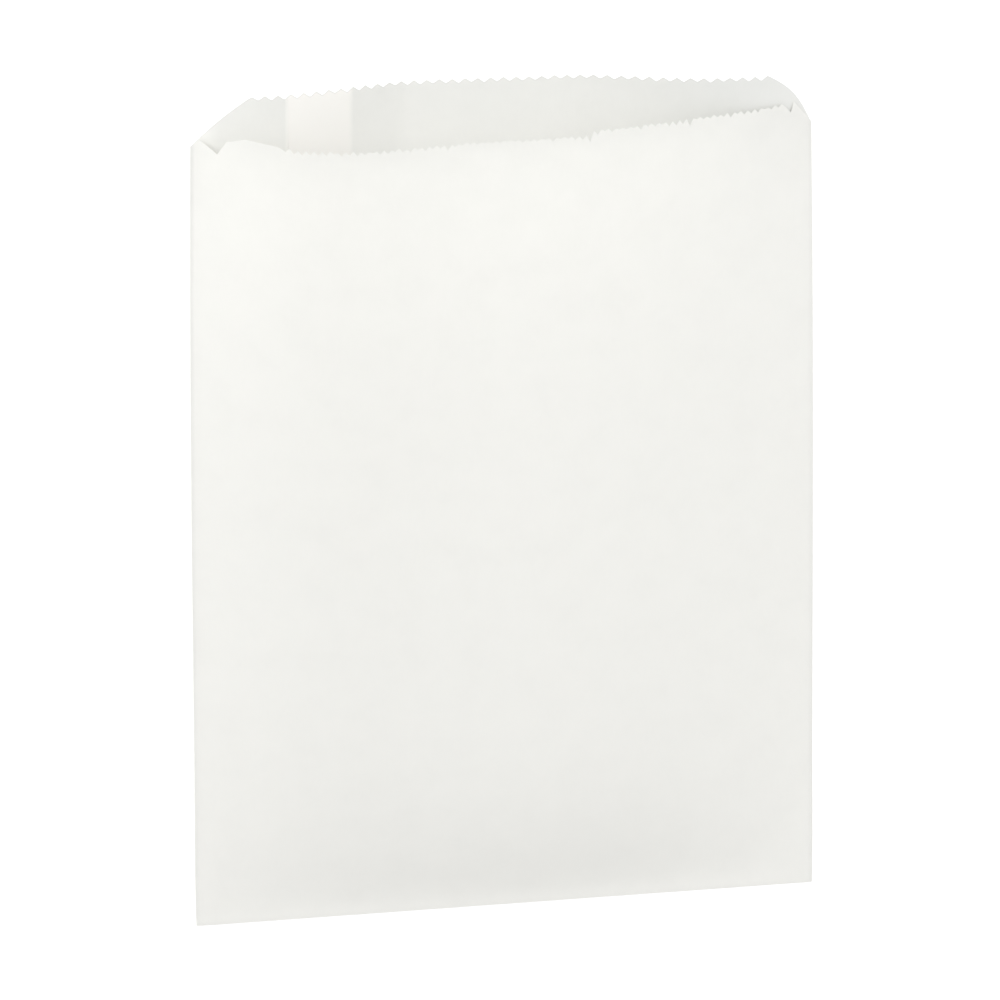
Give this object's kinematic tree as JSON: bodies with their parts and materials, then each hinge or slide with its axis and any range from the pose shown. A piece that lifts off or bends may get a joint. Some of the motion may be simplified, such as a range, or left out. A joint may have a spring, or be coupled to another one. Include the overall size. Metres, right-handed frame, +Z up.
{
  "type": "greaseproof paper bag",
  "caption": "Flat paper food bag lying on its back with its mouth a little open, with a folded bottom, two side folds, a toothed lip and slanting corner cuts.",
  "frame": {"origin": "middle of the bag's box in X and Y, on the surface that it lies on", "axes": "+X across the bag from fold to fold, +Y from the folded bottom to the mouth, +Z up out of the front panel"},
  "size_m": [0.2, 0.2656, 0.0434],
  "materials": {
    "paper": "matt white greaseproof paper with a faint sheen"
  },
  "bodies": {
    "root": {"paper_bag": "paper"}
  },
  "joints": []
}
